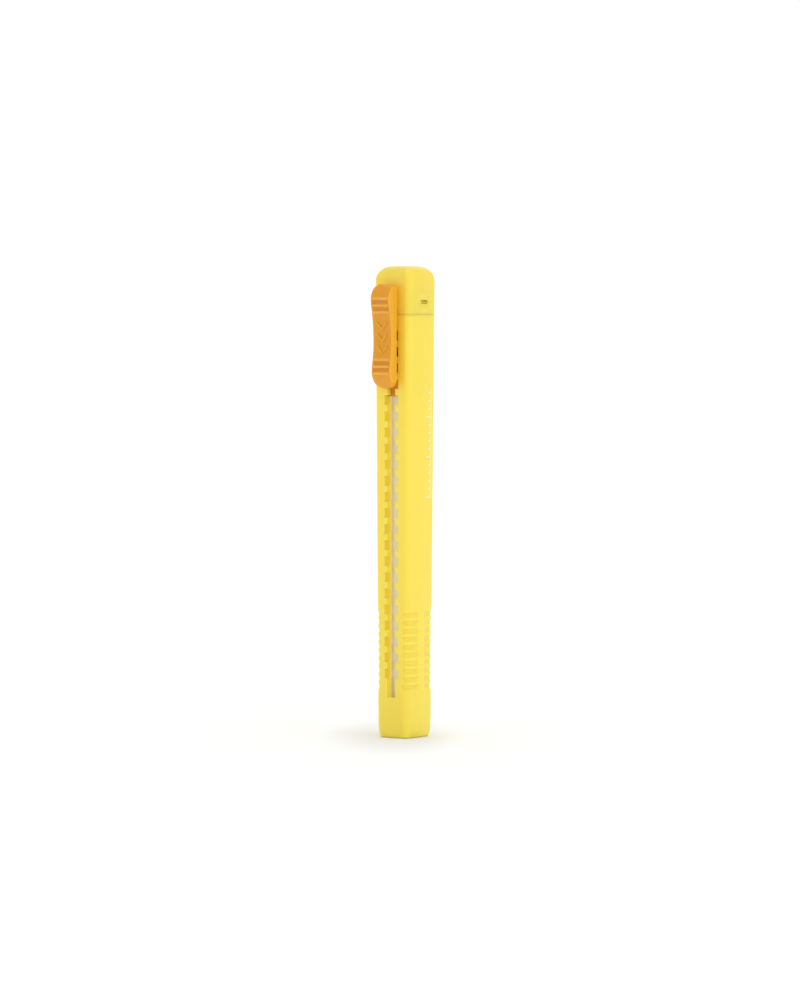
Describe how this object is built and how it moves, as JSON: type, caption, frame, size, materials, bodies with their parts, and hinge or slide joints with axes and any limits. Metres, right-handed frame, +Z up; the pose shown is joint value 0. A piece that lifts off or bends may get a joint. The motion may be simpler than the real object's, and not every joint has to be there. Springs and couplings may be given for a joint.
{
  "type": "pencil eraser stick",
  "caption": "Slim square-sided refillable eraser holder: a sprung thumb plate slides along a notched slot and feeds a round eraser out of the mouth.",
  "frame": {"origin": "centre of the mouth rim, on the axis of the eraser", "axes": "+Z up the barrel towards the cap, -Y out of the slotted front face, +X across the width"},
  "size_m": [0.012, 0.0168, 0.12],
  "materials": {
    "yellow_plastic": "satin gloss moulded yellow plastic",
    "orange_plastic": "satin gloss moulded orange plastic",
    "eraser_vinyl": "matt off-white vinyl eraser"
  },
  "bodies": {
    "barrel": {"barrel": "yellow_plastic", "end_cap": "yellow_plastic"},
    "carriage": {"eraser_holder": "orange_plastic", "lock_spring": "orange_plastic"},
    "button": {"thumb_button": "orange_plastic"},
    "refill": {"eraser_refill": "eraser_vinyl"}
  },
  "joints": [
    {"name": "feed", "type": "slide", "parent": "barrel", "child": "carriage", "axis": [0, 0, -1], "range_m": [0, 0.08589]},
    {"name": "button_press", "type": "slide", "parent": "carriage", "child": "button", "axis": [0, 1, 0], "range_m": [0, 0.00135], "stiffness_N_per_m": 1500, "springref_m": -0.0005, "deforming": ["lock_spring"]},
    {"name": "refill_draw", "type": "slide", "parent": "carriage", "child": "refill", "axis": [0, 0, -1], "range_m": [0, 0.008]}
  ]
}
